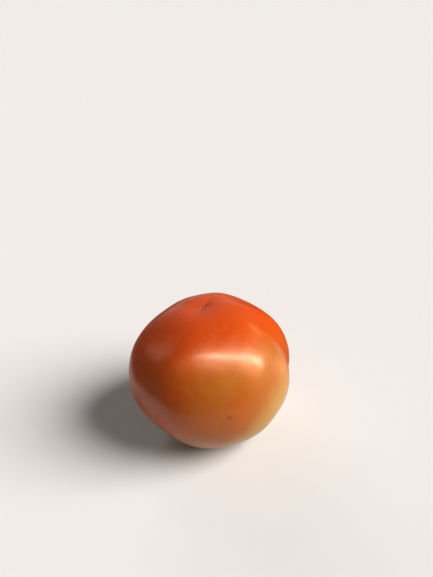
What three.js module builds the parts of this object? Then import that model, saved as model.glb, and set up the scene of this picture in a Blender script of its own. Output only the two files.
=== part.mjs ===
// A ripening round tomato, standing on the shoulders of its stem end with the blossom end up. It
// is one piece of fruit, with no calyx. The blossom end has a shallow dimple with a scar and one
// crease, and the stem end has a deeper cavity with a corky scar in it. Millimetres, +Z up, with
// the origin under the middle of the fruit, on the surface that it stands on.
import * as THREE from "three";

// Size of the fruit, along and across its own axis.
const WIDEST_RADIUS = 38.7;
const BLOSSOM_HEIGHT = 34.2; // from the widest section up to the blossom end
const STEM_HEIGHT = 32.9; // from the widest section down to the stem end
const SQUARENESS = 2.08; // exponent of the outline: 2 is an ellipse, and more is blockier
const OVAL = { turnDeg: 2, share: 0.008 }; // the widest section is this share out of round

// The hollow, the crease and the scar at the blossom end.
const BLOSSOM_DIMPLE = { radius: 8.5, depth: 1.5 };
const BLOSSOM_CREASE = { azimuthDeg: 56, widthDeg: 12, reach: 4, depth: 0.8 };
const BLOSSOM_SCAR = { radius: 1.5, depth: 0.5 };

// The hollow and the scar at the stem end.
const STEM_CAVITY = { radius: 14, depth: 8 };
const STEM_SCAR = { radius: 4.6, height: 0.6 };

// Furrows between the lobes. Azimuths are round the fruit's own axis, 0 at +X, and widths are
// half-widths in degrees. Depths are at the blossom shoulder, at the side and at the stem shoulder.
const FURROWS = [
  { azimuthDeg: -14, widthDeg: 9, depths: [0.4, 2.1, 2.8] },
  { azimuthDeg: -40, widthDeg: 8, depths: [0.1, 0.6, 0.9] },
  { azimuthDeg: -148, widthDeg: 15, depths: [0.3, 0.6, 2.8] },
  { azimuthDeg: 136, widthDeg: 21, depths: [1.1, 0.6, 1.8] },
  { azimuthDeg: 88, widthDeg: 13, depths: [0.4, 0.6, 1.9] },
  { azimuthDeg: 28, widthDeg: 18, depths: [1.4, 0.9, 1.8] },
];
const FURROW_STATIONS_DEG = [38, 90, 142]; // polar angles of those three depths
const FURROW_REACH_DEG = 34; // how far each depth reaches towards the next
const FURROW_FADE_DEG = 40; // polar angle within which the furrows fade towards either pole

// How it stands.
const LEAN_DEG = 2; // of the blossom end towards +Y
const SIDE_LEAN_DEG = -0.5; // of the blossom end towards +X
const PRESSED_FLAT = 1.2; // how far the skin is pressed in where it rests

// Facets.
const SEGMENTS = 80; // round the axis
const RINGS = 50; // from pole to pole
const POLE_CROWDING = 0.35; // 0 spaces the rings evenly, and more gathers them at the two ends

const degrees = THREE.MathUtils.degToRad;

// 1 at the middle of a bump, falling smoothly to 0.
const bump = (distance, width) => Math.exp(-0.5 * (distance / width) ** 2);

// The smallest turn from one azimuth to another.
const turn = (from, to) => Math.atan2(Math.sin(to - from), Math.cos(to - from));

// Distance from the fruit's middle to its plain outline, polar angle 0 at the blossom end.
function outlineRadius(polar, azimuth) {
  const height = polar < Math.PI / 2 ? BLOSSOM_HEIGHT : STEM_HEIGHT;
  const oval = 1 + OVAL.share * Math.cos(2 * (azimuth - degrees(OVAL.turnDeg)));
  const across = Math.abs(Math.sin(polar)) / (WIDEST_RADIUS * oval);
  const along = Math.abs(Math.cos(polar)) / height;
  return (across ** SQUARENESS + along ** SQUARENESS) ** (-1 / SQUARENESS);
}

// How deep the furrows are at a place on the skin.
function furrowDepth(polar, azimuth) {
  const reach = degrees(FURROW_REACH_DEG);
  const shares = FURROW_STATIONS_DEG.map((station) => bump(polar - degrees(station), reach));
  const fade = Math.min(1, Math.sin(polar) / Math.sin(degrees(FURROW_FADE_DEG)));
  return FURROWS.reduce((sum, { azimuthDeg, widthDeg, depths }) => {
    const across = bump(turn(degrees(azimuthDeg), azimuth), degrees(widthDeg));
    const depth = depths.reduce((total, d, i) => total + d * shares[i], 0);
    return sum + across * depth * fade;
  }, 0);
}

// How far the blossom end's dimple, crease and scar go in.
function blossomDepth(fromAxis, azimuth) {
  const { azimuthDeg, widthDeg, reach, depth } = BLOSSOM_CREASE;
  const across = bump(turn(degrees(azimuthDeg), azimuth), degrees(widthDeg));
  const along = (fromAxis / reach) * Math.exp(1 - fromAxis / reach);
  const dimple = BLOSSOM_DIMPLE.depth * bump(fromAxis, BLOSSOM_DIMPLE.radius / 2);
  const scar = BLOSSOM_SCAR.depth * bump(fromAxis, BLOSSOM_SCAR.radius / 2);
  return dimple + depth * across * along + scar;
}

// How far the stem end's cavity goes in, less the corky scar that stands in it.
function stemDepth(fromAxis) {
  const cavity = STEM_CAVITY.depth * bump(fromAxis, STEM_CAVITY.radius / 2);
  const scar = STEM_SCAR.height * bump(fromAxis, STEM_SCAR.radius / 2);
  return cavity - scar;
}

// A point of the skin, in the fruit's own frame.
function skinPoint(polar, azimuth) {
  const plain = outlineRadius(polar, azimuth);
  const fromAxis = plain * Math.sin(polar);
  const hollow = polar < Math.PI / 2 ? blossomDepth(fromAxis, azimuth) : stemDepth(fromAxis);
  return new THREE.Vector3().setFromSphericalCoords(
    plain - furrowDepth(polar, azimuth) - hollow,
    polar,
    azimuth,
  );
}

// A unit sphere, its axis along Y, whose vertices are moved out to the skin.
function skinGeometry() {
  const geometry = new THREE.SphereGeometry(1, SEGMENTS, RINGS);
  const position = geometry.getAttribute("position");
  const vertex = new THREE.Vector3();
  for (let i = 0; i < position.count; i++) {
    vertex.fromBufferAttribute(position, i);
    const even = Math.acos(THREE.MathUtils.clamp(vertex.y, -1, 1));
    const polar = even - (POLE_CROWDING / 2) * Math.sin(2 * even);
    const point = skinPoint(polar, Math.atan2(vertex.x, vertex.z));
    position.setXYZ(i, point.x, point.y, point.z);
  }
  return geometry;
}

// Turns the axis up, leans the fruit and sets it down, with the skin pressed flat at height 0.
function settle(geometry) {
  geometry.rotateX(Math.PI / 2).rotateZ(Math.PI / 2);
  geometry.rotateX(-degrees(LEAN_DEG)).rotateY(degrees(SIDE_LEAN_DEG));
  geometry.computeBoundingBox();
  const { min, max } = geometry.boundingBox;
  geometry.translate(-(min.x + max.x) / 2, -(min.y + max.y) / 2, -min.z - PRESSED_FLAT);
  const position = geometry.getAttribute("position");
  for (let i = 0; i < position.count; i++) {
    position.setZ(i, Math.max(0, position.getZ(i)));
  }
  geometry.computeVertexNormals();
  return geometry;
}

const skin = new THREE.MeshStandardMaterial({ color: 0xd2521e, roughness: 0.3, metalness: 0 });
const tomato = new THREE.Mesh(settle(skinGeometry()), skin);
tomato.name = "tomato";

const fruit = new THREE.Group();
fruit.add(tomato);

export default fruit;
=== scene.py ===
# A ripening round tomato on a pale floor. The fine skin is laid over the CAD solid, and its
# colour, gloss and small marks come from one procedural material. Lengths are in metres and
# angles in degrees. On the fruit, azimuths run round its own axis from +X towards +Y, and polar
# angles start at the blossom end. For the lights and the cards, azimuth 0 is the camera's side
# and 90 is the right.
import math

import bpy
import numpy as np
from mathutils import Matrix, Vector
from mathutils.bvhtree import BVHTree


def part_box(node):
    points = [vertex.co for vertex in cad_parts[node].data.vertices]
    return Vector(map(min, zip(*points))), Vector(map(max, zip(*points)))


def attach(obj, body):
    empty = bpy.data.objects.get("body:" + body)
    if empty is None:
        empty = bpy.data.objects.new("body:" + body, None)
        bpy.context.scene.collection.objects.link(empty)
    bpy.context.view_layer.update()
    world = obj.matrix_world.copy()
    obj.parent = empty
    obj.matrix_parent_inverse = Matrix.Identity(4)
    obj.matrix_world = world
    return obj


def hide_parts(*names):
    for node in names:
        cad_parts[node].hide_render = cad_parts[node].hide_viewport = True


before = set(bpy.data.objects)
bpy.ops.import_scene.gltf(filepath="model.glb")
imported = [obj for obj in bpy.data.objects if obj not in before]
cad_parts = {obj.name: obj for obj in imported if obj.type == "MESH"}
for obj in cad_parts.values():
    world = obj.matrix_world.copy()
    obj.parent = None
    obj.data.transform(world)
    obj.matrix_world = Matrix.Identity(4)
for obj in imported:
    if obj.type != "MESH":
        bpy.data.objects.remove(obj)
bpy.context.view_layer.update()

MM = 0.001

# The camera, which looks down on the front of the fruit and is rolled a little clockwise.
VIEW = {"distance": 0.259, "pitch": 31.3, "heading": 2.75, "roll": 8.9}
FRUIT_OFF_AXIS = {"left": 0.69, "down": 7.94}
LENS_MM = 34.3
SENSOR_MM = 36
NEAREST_SEEN = 10 * MM

# The windows, seen only in the gloss: panes from one place to another, each place an azimuth and
# an elevation. The first four are a band of light that rises from the right and leans in over
# the fruit, the next three are the warm glow round it and its faint tail, then comes a small
# lamp at the right behind, and last a dim window on the left.
WHITE, WARM = (1.0, 0.90, 0.67), (1.0, 0.50, 0.20)
WINDOWS = [
    {"ends": ((84, 11), (62, 40)), "width": 11, "radiance": 38, "colour": WHITE},
    {"ends": ((62, 40), (34, 58)), "width": 9, "radiance": 40, "colour": WHITE},
    {"ends": ((34, 58), (-8, 67)), "width": 8, "radiance": 39, "colour": WHITE},
    {"ends": ((-8, 67), (-42, 68)), "width": 7, "radiance": 26, "colour": WHITE},
    {"ends": ((76, 2), (44, 44)), "width": 32, "radiance": 6.5, "colour": WARM},
    {"ends": ((44, 44), (-42, 66)), "width": 28, "radiance": 6.5, "colour": WARM},
    {"ends": ((-42, 66), (-66, 38)), "width": 16, "radiance": 3.2, "colour": WARM},
    {"ends": ((127, 28), (112, 22)), "width": 4, "radiance": 22, "colour": WARM},
    {"ends": ((-112, 20), (-112, 46)), "width": 16, "radiance": 1.8, "colour": WHITE},
]
WINDOW_DISTANCE = 50.0

# The key light, which gives the light and shade, and a wide fill light low behind the fruit.
KEY = {"place": (70, 35), "softness": 40, "strength": 6.5, "colour": (1.0, 0.93, 0.84)}
FILL = {"place": (190, 4), "softness": 50, "strength": 2.7, "colour": (1.0, 0.96, 0.92)}

# Low curved cards round the fruit, seen only in its gloss, each by its azimuths, radius, lowest
# and highest edge, colour and glow: dark ones behind, at the front left and close by at the
# right behind, and a warm lit one on the right.
DARK, LIT = (0.10, 0.04, 0.03), (1.0, 0.60, 0.30)
CARDS = [
    ((112, 212), 78 * MM, (0, 52 * MM), DARK, 0),
    ((212, 395), 82 * MM, (20 * MM, 62 * MM), DARK, 0),
    ((94, 150), 50 * MM, (0, 50 * MM), DARK, 0),
    ((80, 92), 88 * MM, (6 * MM, 34 * MM), LIT, 6.0),
]
CARD_STEPS = 24

# Brightness of the surroundings against the sine of the elevation, their tint, and the far wall
# as the camera sees it.
SURROUNDINGS = [(0.00, 0.10), (0.45, 0.15), (0.90, 0.04)]
SURROUNDINGS_TINT = (1.0, 0.90, 0.75)
FAR_WALL = (0.84, 0.83, 0.82)

FLOOR = {"half_width": 30.0, "colour": (0.635, 0.65, 0.69)}

# The fine skin's grid.
AROUND = 432
DOWN = 212
POLE_CROWDING = 0.7  # 0 spaces the rings evenly, and more gathers them at the two ends
SMOOTHING_STEPS = 3  # of the grid, enough to take the solid's facets away
HOLLOW_SEARCH = 10  # half the cone in which the solid's end hollows are looked for

# The skin's unevenness: a broad one and a fine one.
UNEVENNESS = [
    {"wavelength": 22 * MM, "amplitude": 0.10 * MM, "seed": 3},
    {"wavelength": 7 * MM, "amplitude": 0.014 * MM, "seed": 5},
]
RIPPLE_WAVES = 24

# Creases that run out of the blossom scar: azimuth, length, depth and half-width. Where the
# depth is negative, it's a ridge.
BLOSSOM_CREASES = [
    (56, 8.0 * MM, 0.20 * MM, 1.10 * MM),
    (3, 4.0 * MM, 0.18 * MM, 0.50 * MM),
    (-36, 5.0 * MM, -0.10 * MM, 0.50 * MM),
    (-75, 4.0 * MM, 0.05 * MM, 0.40 * MM),
    (-122, 4.5 * MM, 0.05 * MM, 0.40 * MM),
    (-176, 7.0 * MM, -0.10 * MM, 0.38 * MM),
    (160, 4.5 * MM, 0.07 * MM, 0.35 * MM),
    (138, 5.5 * MM, -0.10 * MM, 0.35 * MM),
    (98, 4.5 * MM, 0.08 * MM, 0.40 * MM),
]
CREASE_WANDER = 7  # how far a crease strays from its azimuth
# The dark red in the creases is painted shade, full at this depth.
CREASE_FULL_DEPTH = 0.18 * MM  # where a crease has its full dark red

# The corky star in the blossom end, with a raised rim and a nub in its middle.
BLOSSOM_SCAR = {"radius": 1.3 * MM, "rim": 0.16 * MM, "nub": 0.30 * MM}

# The stem end: the corky scar with its sunken pith and its cracks, and the wrinkles that run
# down into the cavity.
STEM_SCAR = {"radius": 4.4 * MM, "cork": 0.5 * MM, "pith": 0.7 * MM, "cracks": 0.22 * MM}
STEM_WRINKLES = {"reach": 7.5 * MM, "depth": 0.14 * MM}

# The skin's colour against its ripeness, from 0 for unripe to 1 for ripe.
RIPENING = [
    (0.00, (0.30, 0.20, 0.040)),
    (0.20, (0.36, 0.19, 0.032)),
    (0.38, (0.315, 0.087, 0.008)),
    (0.56, (0.40, 0.064, 0.003)),
    (0.74, (0.45, 0.042, 0.001)),
    (1.00, (0.42, 0.030, 0.002)),
]
MIDDLE_RIPENESS = 0.40

# Where the fruit is less or more ripe: azimuth, polar angle, reach and how much it adds.
PATCHES = [
    (-40, 118, 44, -0.27),
    (-98, 62, 24, -0.06),
    (-142, 74, 60, 0.20),
    (2, 65, 38, 0.21),
    (125, 76, 72, 0.20),
]

# The other colours in the skin.
# Painted shade: the dark red laid into the creases round the blossom scar.
CREASE_SHADE_RED = (0.20, 0.012, 0.002)
RIDGE_TAN = (0.52, 0.17, 0.06)
MOTTLE = (0.42, 0.11, 0.004)
FLECK = (0.46, 0.15, 0.010)
FRECKLE = (0.17, 0.036, 0.006)
# Partly the skin's waxy bloom and partly a painted reflection of the pale sky round the blossom
# end.
BLOOM_AND_SHEEN = (0.40, 0.060, 0.022)
MARK = (0.15, 0.024, 0.002)
CORK = [(0.3, (0.10, 0.05, 0.015)), (0.7, (0.30, 0.20, 0.075))]

# Small brown marks on the skin: azimuth, polar angle and radius.
MARKS = [
    (-85, 91, 1.00 * MM),
    (-84, 92, 0.50 * MM),
    (-88, 53, 0.36 * MM),
    (-72, 58, 0.38 * MM),
    (-92, 52, 0.24 * MM),
    (-70, 62, 0.26 * MM),
    (-66, 50, 0.22 * MM),
    (-150, 88, 0.50 * MM),
    (12, 71, 0.50 * MM),
    (95, 64, 0.40 * MM),
    (160, 98, 0.45 * MM),
]

# Roughness of the smoothest and the dullest skin, of cork and marks, and what a freckle adds.
ROUGHNESS = {"low": 0.28, "high": 0.38, "cork": 0.85, "marks": 0.7, "freckles": 0.25}

# Heights of the relief that's too fine for the mesh, in millimetres.
RELIEF = {"peel": 0.022, "waves": 0.035, "bark": 0.35, "pits": -0.06}


def fruit_middle():
    """The middle of the CAD solid's box."""
    low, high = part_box("tomato")
    return (low + high) / 2


def unit_vectors(count, random):
    """Evenly spread random directions."""
    vectors = random.normal(size=(count, 3))
    return vectors / np.linalg.norm(vectors, axis=1)[:, None]


def ripples(points, wavelength, amplitude, seed):
    """Soft bumps of about one wavelength, as the sum of waves in random directions."""
    random = np.random.RandomState(seed)
    phases = random.uniform(0, 2 * math.pi, RIPPLE_WAVES)
    lengths = wavelength * random.uniform(0.75, 1.35, RIPPLE_WAVES)
    total = np.zeros(points.shape[:-1])
    for direction, phase, length in zip(unit_vectors(RIPPLE_WAVES, random), phases, lengths):
        total += np.sin(points @ direction * (2 * math.pi / length) + phase)
    return total * amplitude / math.sqrt(RIPPLE_WAVES / 2)


def bump(distance, width):
    """1 in the middle of a bump, falling smoothly to 0."""
    return np.exp(-0.5 * (distance / width) ** 2)


def turn_between(a, b):
    """The smallest turn between two azimuths, in radians."""
    return np.arctan2(np.sin(a - b), np.cos(a - b))


class Fruit:
    """Where the fruit's own axis lies, found from the hollows at the two ends of the solid."""

    def __init__(self, node):
        middle = fruit_middle()
        points = [v.co.copy() for v in node.data.vertices]
        self.scar = self.hollow(points, middle, Vector((0, 0, 1)))
        self.stem = self.hollow(points, middle, Vector((0, 0, -1)))
        self.axis = (self.scar - self.stem).normalized()
        self.centre = self.scar - self.axis * (self.scar - middle).dot(self.axis)
        self.side = self.axis.cross(Vector((1, 0, 0))).normalized()
        self.front = self.side.cross(self.axis).normalized()
        self.solid = BVHTree.FromObject(node, bpy.context.evaluated_depsgraph_get())

    @staticmethod
    def hollow(points, middle, way):
        """The deepest point of the hollow at one end."""
        cone = math.cos(math.radians(HOLLOW_SEARCH))
        near = [p for p in points if (p - middle).normalized().dot(way) > cone]
        return min(near, key=lambda p: (p - middle).length)

    def direction(self, polar, azimuth):
        """Unit directions from the centre, for arrays of angles in radians."""
        x, y, z = (np.array(v) for v in (self.front, self.side, self.axis))
        across = np.cos(azimuth)[..., None] * x + np.sin(azimuth)[..., None] * y
        return np.sin(polar)[..., None] * across + np.cos(polar)[..., None] * z

    def radius(self, direction):
        """Distance from the centre to the solid's surface."""
        _, _, _, distance = self.solid.ray_cast(self.centre, Vector(direction))
        return distance

    def surface_point(self, polar_deg, azimuth_deg):
        """The place on the solid at these angles."""
        way = self.direction(np.radians(polar_deg), np.radians(azimuth_deg))
        return self.centre + Vector(way) * self.radius(way)


def smooth_over_grid(values, steps):
    """Gaussian smoothing that runs on round the fruit and over its poles."""
    reach = 3 * steps
    kernel = bump(np.arange(-reach, reach + 1), steps)
    kernel /= kernel.sum()
    half = values.shape[1] // 2
    over = np.roll(values, half, axis=1)
    padded = np.concatenate([over[:reach][::-1], values, over[-reach:][::-1]])
    rows = len(values)
    smooth = sum(k * padded[i : i + rows] for i, k in enumerate(kernel))
    return sum(k * np.roll(smooth, i - reach, axis=1) for i, k in enumerate(kernel))


def crease_depth(from_axis, azimuth):
    """Depth of the creases that run out of the blossom scar."""
    depths = np.zeros_like(from_axis)
    for azimuth_deg, length, depth, width in BLOSSOM_CREASES:
        wander = math.radians(CREASE_WANDER) * np.sin(from_axis / (1.3 * MM) + azimuth_deg)
        turn = turn_between(azimuth, math.radians(azimuth_deg) + wander)
        sideways = from_axis * np.sin(np.clip(turn, -math.pi / 2, math.pi / 2))
        along = np.clip(from_axis / (1.0 * MM), 0, 1) * bump(from_axis, length / 2.2)
        depths += depth * along * bump(sideways, width) * (np.abs(turn) < math.pi / 2)
    return depths


def blossom_detail(from_axis, azimuth):
    """Height of the scar's corky star and of the creases round it."""
    height = -crease_depth(from_axis, azimuth)
    star = 1 + 0.35 * np.cos(5 * azimuth + 0.6) + 0.15 * np.cos(9 * azimuth)
    edge = 0.75 * BLOSSOM_SCAR["radius"] * star
    rim = BLOSSOM_SCAR["rim"] * bump(from_axis - edge, 0.28 * MM)
    nub = BLOSSOM_SCAR["nub"] * bump(from_axis, 0.33 * MM)
    return height + rim + nub


def stem_detail(from_axis, azimuth):
    """Height of the corky scar, its cracks, and the wrinkles round it."""
    radius = STEM_SCAR["radius"]
    edge = radius * (1 + 0.10 * np.cos(5 * azimuth) + 0.05 * np.cos(11 * azimuth + 1))
    cork = STEM_SCAR["cork"] / (1 + np.exp((from_axis - edge) / (0.22 * MM)))
    pith = -STEM_SCAR["pith"] * bump(from_axis, 0.9 * MM)
    cracks = np.abs(np.cos(4.5 * azimuth + 0.6 * np.sin(from_axis / (0.9 * MM)))) ** 14
    cracks = -STEM_SCAR["cracks"] * cracks * bump(from_axis - 0.6 * edge, 0.28 * edge)
    bent = azimuth + 0.25 * np.sin(2 * azimuth + 1) + 0.12 * np.sin(from_axis / (2.2 * MM))
    waves = np.sin(9 * bent + 2) + 0.7 * np.sin(14 * bent + 0.7 * np.sin(5 * azimuth))
    waves += 0.5 * np.sin(23 * bent) * np.sin(4 * azimuth + 1)
    band = bump(from_axis - 1.1 * radius, STEM_WRINKLES["reach"] / 2)
    wrinkles = STEM_WRINKLES["depth"] * waves * band
    return cork + pith + cracks + wrinkles * np.clip(from_axis / radius, 0, 1)


def skin_mesh(fruit):
    """The solid's surface on a fine grid, smoothed, with its small relief added."""
    even = np.linspace(0, math.pi, DOWN + 2)[1:-1]
    polar = even - POLE_CROWDING / 2 * np.sin(2 * even)
    azimuth = np.arange(AROUND) * 2 * math.pi / AROUND
    polar, azimuth = np.meshgrid(polar, azimuth, indexing="ij")
    ways = fruit.direction(polar, azimuth)
    radius = np.array([[fruit.radius(way) for way in row] for row in ways])
    radius = smooth_over_grid(radius, SMOOTHING_STEPS)
    plain = ways * radius[..., None]
    from_axis = radius * np.sin(polar)
    blossom_half = polar < math.pi / 2
    relief = sum(ripples(plain, **unevenness) for unevenness in UNEVENNESS)
    relief += np.where(
        blossom_half, blossom_detail(from_axis, azimuth), stem_detail(from_axis, azimuth)
    )
    points = np.array(fruit.centre) + plain + ways * relief[..., None]
    poles = [np.mean(points[row], axis=0) for row in (0, -1)]
    points = np.concatenate([poles[:1], points.reshape(-1, 3), poles[1:]])
    points[:, 2] = np.maximum(points[:, 2], 0)  # pressed flat where it rests

    mesh = bpy.data.meshes.new("tomato_fruit")
    mesh.from_pydata(points.tolist(), [], grid_faces())
    mesh.polygons.foreach_set("use_smooth", [True] * len(mesh.polygons))
    # The creases' depths, kept for their painted shade and for the tan on the ridges.
    crease = crease_depth(from_axis, azimuth) / CREASE_FULL_DEPTH * blossom_half
    mesh.attributes.new("crease", "FLOAT", "POINT").data.foreach_set(
        "value", np.concatenate([[0], np.clip(crease, -1, 1).ravel(), [0]])
    )
    mesh.update()
    return mesh


def grid_faces():
    """Quads between the rings, and a fan of triangles at each pole."""
    last = DOWN * AROUND + 1
    faces = []
    for j in range(AROUND):
        k = (j + 1) % AROUND
        faces.append((0, 1 + j, 1 + k))
        faces.append((last, last - AROUND + k, last - AROUND + j))
        for i in range(DOWN - 1):
            upper, lower = 1 + i * AROUND, 1 + (i + 1) * AROUND
            faces.append((upper + j, lower + j, lower + k, upper + k))
    return faces


class Shader:
    """One material's nodes, added by short calls that each return an output socket."""

    def __init__(self, name):
        self.material = bpy.data.materials.new(name)
        self.material.use_nodes = True
        self.tree = self.material.node_tree
        self.surface = self.tree.nodes["Principled BSDF"]

    def add(self, kind, inputs=None, **settings):
        """Adds a node and returns it, for the calls below and for rarer kinds."""
        node = self.tree.nodes.new(kind)
        for name, value in settings.items():
            setattr(node, name, value)
        for socket, value in (inputs or {}).items():
            self.set(node.inputs[socket], value)
        return node

    def set(self, socket, value):
        if isinstance(value, bpy.types.NodeSocket):
            self.tree.links.new(value, socket)
        else:
            socket.default_value = value

    def math(self, operation, a, b):
        return self.add("ShaderNodeMath", {0: a, 1: b}, operation=operation).outputs[0]

    def vector(self, operation, a, b=(0, 0, 0)):
        """A vector operation, with the output that this operation fills."""
        node = self.add("ShaderNodeVectorMath", {0: a, 1: b}, operation=operation)
        is_number = operation in ("DOT_PRODUCT", "DISTANCE")
        return node.outputs["Value" if is_number else "Vector"]

    def noise(self, place, scale, detail=2.0, roughness=0.5):
        inputs = {"Vector": place, "Scale": scale, "Detail": detail, "Roughness": roughness}
        return self.add("ShaderNodeTexNoise", inputs).outputs["Fac"]

    def spots(self, place, scale):
        """Distance to the nearest of many scattered spots, as a share of their spacing."""
        inputs = {"Vector": place, "Scale": scale}
        return self.add("ShaderNodeTexVoronoi", inputs).outputs["Distance"]

    def spread(self, value, low, high, to_low=0.0, to_high=1.0, smooth=True):
        """Maps low..high to to_low..to_high, held at both ends."""
        inputs = {"Value": value, "From Min": low, "From Max": high}
        inputs |= {"To Min": to_low, "To Max": to_high}
        kind = "SMOOTHSTEP" if smooth else "LINEAR"
        return self.add("ShaderNodeMapRange", inputs, interpolation_type=kind).outputs["Result"]

    def mix(self, share, under, over):
        """A share of one colour laid over another."""
        node = self.add("ShaderNodeMix", {0: share}, data_type="RGBA")
        for socket, value in zip([s for s in node.inputs if s.type == "RGBA"], (under, over)):
            self.set(socket, value)
        return next(s for s in node.outputs if s.type == "RGBA")

    def ramp(self, value, stops):
        node = self.add("ShaderNodeValToRGB", {"Fac": value})
        elements = node.color_ramp.elements
        while len(elements) < len(stops):
            elements.new(0.5)
        for element, (position, colour) in zip(elements, stops):
            element.position = position
            element.color = (*colour, 1)
        return node.outputs["Color"]

    def matte(self, colour):
        """A plain surface of one colour with no gloss."""
        self.surface.inputs["Base Color"].default_value = (*colour, 1)
        self.surface.inputs["Roughness"].default_value = 1.0


def ripeness_over(s, fruit, place, outward):
    """Ripeness of the skin: it falls from the blossom end to the stem end, and differs round
    the fruit."""
    up = s.vector("DOT_PRODUCT", outward, tuple(fruit.axis))
    ripeness = s.math("ADD", MIDDLE_RIPENESS, s.spread(up, 0.3, 0.95, 0, 0.36))
    ripeness = s.math("ADD", ripeness, s.spread(up, -1.0, -0.1, -0.22, 0))
    for azimuth_deg, polar_deg, reach_deg, share in PATCHES:
        towards = fruit.direction(np.radians(polar_deg), np.radians(azimuth_deg))
        near = s.vector("DOT_PRODUCT", outward, tuple(towards))
        edge = math.cos(math.radians(reach_deg))
        ripeness = s.math("ADD", ripeness, s.spread(near, edge, 1.0, 0, share))
    blotches = s.noise(place, 30, detail=3, roughness=0.55)
    lengthwise = s.vector("MULTIPLY", outward, (1, 1, 0.12))
    streaks = s.noise(lengthwise, 9, detail=3, roughness=0.6)
    ripeness = s.math("ADD", ripeness, s.spread(blotches, 0.3, 0.7, -0.05, 0.05))
    return s.math("ADD", ripeness, s.spread(streaks, 0.3, 0.7, -0.02, 0.02))


def flesh_colour(s, ripeness, place):
    """The ripening colour with painted shade in its creases, fine mottling, and pale flecks
    under the skin.
    """
    colour = s.ramp(ripeness, RIPENING)
    crease = s.add("ShaderNodeAttribute", attribute_name="crease").outputs["Fac"]
    # Painted shade: the creases are darkened to a deep red, as if in shadow.
    crease_shade = s.spread(crease, 0.0, 1.0, 0.0, 0.85, smooth=False)
    colour = s.mix(crease_shade, colour, (*CREASE_SHADE_RED, 1))
    ridged = s.spread(crease, -0.6, 0.0, 0.45, 0.0, smooth=False)
    colour = s.mix(ridged, colour, (*RIDGE_TAN, 1))
    mottled = s.spread(s.noise(place, 420, detail=4, roughness=0.6), 0.35, 0.7, 0.0, 0.22)
    colour = s.mix(mottled, colour, (*MOTTLE, 1))
    flecked = s.spread(s.spots(place, 900), 0.05, 0.22, 0.22, 0.0)
    return s.mix(flecked, colour, (*FLECK, 1))


def freckles_over(s, place):
    """Where the faint brown freckles are, in loose groups."""
    groups = s.spread(s.noise(place, 90), 0.35, 0.60, 0.25, 1.0)
    return s.math("MULTIPLY", s.spread(s.spots(place, 700), 0.06, 0.26, 0.50, 0.0), groups)


def marks_over(s, fruit, place):
    """Where the small brown marks are."""
    marks = 0.0
    for azimuth_deg, polar_deg, radius in MARKS:
        point = fruit.surface_point(polar_deg, azimuth_deg)
        wobble = s.math("MULTIPLY", s.noise(place, 1500, detail=3), 1.6 * radius)
        apart = s.math("ADD", s.vector("DISTANCE", place, tuple(point)), wobble)
        marks = s.math("MAXIMUM", marks, s.spread(apart, 0.8 * radius, 2.5 * radius, 0.65, 0.0))
    return marks


def cork_over(s, to_scar, to_stem, grain):
    """Where the two corky scars are, with ragged edges."""
    ragged = s.math("ADD", to_scar, s.math("MULTIPLY", grain, 0.9 * MM))
    blossom_cork = s.spread(ragged, 1.2 * MM, 1.9 * MM, 0.9, 0.0)
    ragged = s.math("ADD", to_stem, s.math("MULTIPLY", grain, 1.6 * MM))
    stem_cork = s.spread(ragged, 4.9 * MM, 6.2 * MM, 1.0, 0.0)
    return s.math("MAXIMUM", blossom_cork, stem_cork)


def skin_roughness(s, place, cork, marks, freckles):
    """Waxy skin, duller on cork, marks and freckles."""
    bloom = s.noise(place, 160, detail=3, roughness=0.6)
    roughness = s.spread(bloom, 0.3, 0.7, ROUGHNESS["low"], ROUGHNESS["high"])
    roughness = s.math("MAXIMUM", roughness, s.math("MULTIPLY", cork, ROUGHNESS["cork"]))
    roughness = s.math("MAXIMUM", roughness, s.math("MULTIPLY", marks, ROUGHNESS["marks"]))
    return s.math("ADD", roughness, s.math("MULTIPLY", freckles, ROUGHNESS["freckles"]))


def skin_relief(s, place, grain, cork, marks, freckles):
    """The relief that's too fine for the mesh, as a normal."""
    peel = s.math("MULTIPLY", s.noise(place, 1100, detail=3, roughness=0.6), RELIEF["peel"])
    waves = s.math("MULTIPLY", s.noise(place, 330, detail=1), RELIEF["waves"])
    bark = s.math("MULTIPLY", s.math("MULTIPLY", grain, cork), RELIEF["bark"])
    pits = s.math("MULTIPLY", s.math("MAXIMUM", marks, freckles), RELIEF["pits"])
    height = s.math("ADD", s.math("ADD", peel, waves), s.math("ADD", bark, pits))
    normal = s.add("ShaderNodeBump", {"Height": height, "Distance": MM, "Strength": 1.0})
    return normal.outputs["Normal"]


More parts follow.
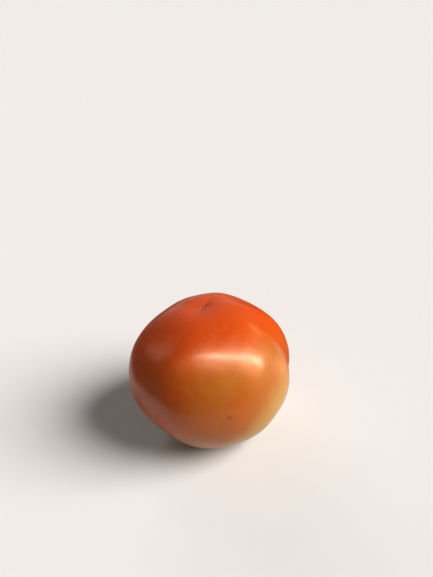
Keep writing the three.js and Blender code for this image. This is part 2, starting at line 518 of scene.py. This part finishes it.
def skin_material(fruit):
    """Waxy skin that turns from orange-red at the blossom end to yellow-tan at the stem end."""
    s = Shader("tomato_skin")
    place = s.add("ShaderNodeTexCoord").outputs["Object"]
    outward = s.vector("NORMALIZE", s.vector("SUBTRACT", place, tuple(fruit.centre)))
    to_scar = s.vector("DISTANCE", place, tuple(fruit.scar))
    to_stem = s.vector("DISTANCE", place, tuple(fruit.stem))
    freckles = freckles_over(s, place)
    marks = marks_over(s, fruit, place)
    grain = s.noise(place, 2600, detail=4, roughness=0.7)
    cork = cork_over(s, to_scar, to_stem, grain)
    # Round the blossom end the skin is paler and bluer: partly its waxy bloom, partly a painted
    # reflection of the sky.
    bloom_and_sheen = s.spread(to_scar, 5 * MM, 26 * MM, 0.30, 0.0)

    colour = flesh_colour(s, ripeness_over(s, fruit, place, outward), place)
    colour = s.mix(freckles, colour, (*FRECKLE, 1))
    colour = s.mix(bloom_and_sheen, colour, (*BLOOM_AND_SHEEN, 1))
    colour = s.mix(marks, colour, (*MARK, 1))
    colour = s.mix(cork, colour, s.ramp(grain, CORK))

    skin = s.surface.inputs
    s.set(skin["Base Color"], colour)
    s.set(skin["Roughness"], skin_roughness(s, place, cork, marks, freckles))
    s.set(skin["Normal"], skin_relief(s, place, grain, cork, marks, freckles))
    skin["IOR"].default_value = 1.45
    skin["Specular IOR Level"].default_value = 0.27
    skin["Coat Weight"].default_value = 0.18
    skin["Coat Roughness"].default_value = 0.19
    skin["Subsurface Weight"].default_value = 0.12
    skin["Subsurface Radius"].default_value = (1.0, 0.35, 0.12)
    skin["Subsurface Scale"].default_value = 3.0 * MM
    return s.material


def add_object(name, data):
    """A new object in the scene."""
    added = bpy.data.objects.new(name, data)
    bpy.context.scene.collection.objects.link(added)
    return added


def make_fruit():
    """The fine skin, which stands for the CAD solid."""
    fruit = Fruit(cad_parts["tomato"])
    piece = add_object("tomato_fruit", skin_mesh(fruit))
    piece.data.materials.append(skin_material(fruit))
    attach(piece, "root")
    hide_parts("tomato")


def make_floor():
    """A wide pale floor."""
    half = FLOOR["half_width"]
    corners = [(-half, -half, 0), (half, -half, 0), (half, half, 0), (-half, half, 0)]
    mesh = bpy.data.meshes.new("floor")
    mesh.from_pydata(corners, [], [(0, 1, 2, 3)])
    s = Shader("floor_pale")
    s.matte(FLOOR["colour"])
    s.surface.inputs["Specular IOR Level"].default_value = 0.0
    mesh.materials.append(s.material)
    add_object("floor", mesh)


def direction_to(azimuth, elevation):
    """Unit vector to a light: azimuth 0 is the camera's side, and it grows to the right."""
    a, e = math.radians(azimuth), math.radians(elevation)
    return Vector((math.sin(a) * math.cos(e), -math.cos(a) * math.cos(e), math.sin(e)))


def window_pane(ends, width, radiance, colour):
    """A soft light from one place to another and as wide as an angle, seen only in the gloss."""
    foot, head = (direction_to(*end) for end in ends)
    back = (foot + head).normalized()
    across = foot.cross(head).normalized()
    light = bpy.data.lights.new("window", "AREA")
    light.shape = "RECTANGLE"
    light.size = 2 * WINDOW_DISTANCE * math.tan(foot.angle(head) / 2)
    light.size_y = 2 * WINDOW_DISTANCE * math.tan(math.radians(width / 2))
    light.energy = math.pi * light.size * light.size_y * radiance
    light.color = colour
    lamp = add_object("window", light)
    lamp.visible_camera = False
    lamp.visible_diffuse = False
    rotation = Matrix((across.cross(back), across, back)).transposed()
    place = fruit_middle() + back * WINDOW_DISTANCE
    lamp.matrix_world = Matrix.Translation(place) @ rotation.to_4x4()


def soft_sun(name, place, softness, strength, colour):
    """A soft light that gives light and shade and isn't seen in the gloss."""
    light = bpy.data.lights.new(name, "SUN")
    light.energy = strength
    light.angle = math.radians(softness)
    light.color = colour
    lamp = add_object(name, light)
    lamp.visible_glossy = False
    lamp.rotation_mode = "QUATERNION"
    lamp.rotation_quaternion = direction_to(*place).to_track_quat("Z", "Y")


def make_world():
    """Dim surroundings, and a pale far wall where the camera looks."""
    world = bpy.data.worlds.new("surroundings")
    world.use_nodes = True
    tree = world.node_tree
    place = tree.nodes.new("ShaderNodeTexCoord")
    height = tree.nodes.new("ShaderNodeSeparateXYZ")
    ramp = tree.nodes.new("ShaderNodeValToRGB")
    ramp.color_ramp.elements.new(0.5)
    for element, (position, grey) in zip(ramp.color_ramp.elements, SURROUNDINGS):
        element.position = position
        element.color = (*(grey * tint for tint in SURROUNDINGS_TINT), 1)
    ray = tree.nodes.new("ShaderNodeLightPath")
    seen = tree.nodes.new("ShaderNodeMixRGB")
    seen.inputs["Color2"].default_value = (*FAR_WALL, 1)
    tree.links.new(place.outputs["Generated"], height.inputs["Vector"])
    tree.links.new(height.outputs["Z"], ramp.inputs["Fac"])
    tree.links.new(ray.outputs["Is Camera Ray"], seen.inputs["Fac"])
    tree.links.new(ramp.outputs["Color"], seen.inputs["Color1"])
    tree.links.new(seen.outputs["Color"], tree.nodes["Background"].inputs["Color"])
    bpy.context.scene.world = world


def make_card(azimuths, radius, heights, colour, glow):
    """One card: a low upright strip, curved round the fruit."""
    middle = fruit_middle()
    corners = []
    for azimuth in np.linspace(*azimuths, CARD_STEPS):
        foot = direction_to(azimuth, 0) * radius + Vector((middle.x, middle.y, 0))
        corners += [foot + Vector((0, 0, height)) for height in heights]
    faces = [(i, i + 2, i + 3, i + 1) for i in range(0, len(corners) - 2, 2)]
    mesh = bpy.data.meshes.new("card")
    mesh.from_pydata(corners, [], faces)
    s = Shader("card")
    s.matte(colour)
    s.surface.inputs["Emission Color"].default_value = (*colour, 1)
    s.surface.inputs["Emission Strength"].default_value = glow
    mesh.materials.append(s.material)
    card = add_object("card", mesh)
    for ray in ("camera", "diffuse", "transmission", "volume_scatter", "shadow"):
        setattr(card, f"visible_{ray}", False)


def make_camera():
    """The camera, at the picture's viewing angle."""
    data = bpy.data.cameras.new("camera")
    data.lens = LENS_MM
    data.sensor_width = SENSOR_MM
    data.clip_start = NEAREST_SEEN
    camera = add_object("camera", data)
    turn = Matrix.Rotation(-math.radians(VIEW["heading"]), 3, "Z")
    tilt = Matrix.Rotation(math.radians(90 - VIEW["pitch"]), 3, "X")
    roll = Matrix.Rotation(-math.radians(VIEW["roll"]), 3, "Z")
    rotation = turn @ tilt @ roll
    left, down = (math.tan(math.radians(FRUIT_OFF_AXIS[side])) for side in ("left", "down"))
    ray = (rotation @ Vector((-left, -down, -1))).normalized()
    place = fruit_middle() - ray * VIEW["distance"]
    camera.matrix_world = Matrix.Translation(place) @ rotation.to_4x4()
    bpy.context.scene.camera = camera


make_camera()
make_floor()
for window in WINDOWS:
    window_pane(**window)
soft_sun("key", **KEY)
soft_sun("fill", **FILL)
make_world()
for card in CARDS:
    make_card(*card)
make_fruit()
bpy.context.scene.view_settings.view_transform = "Standard"
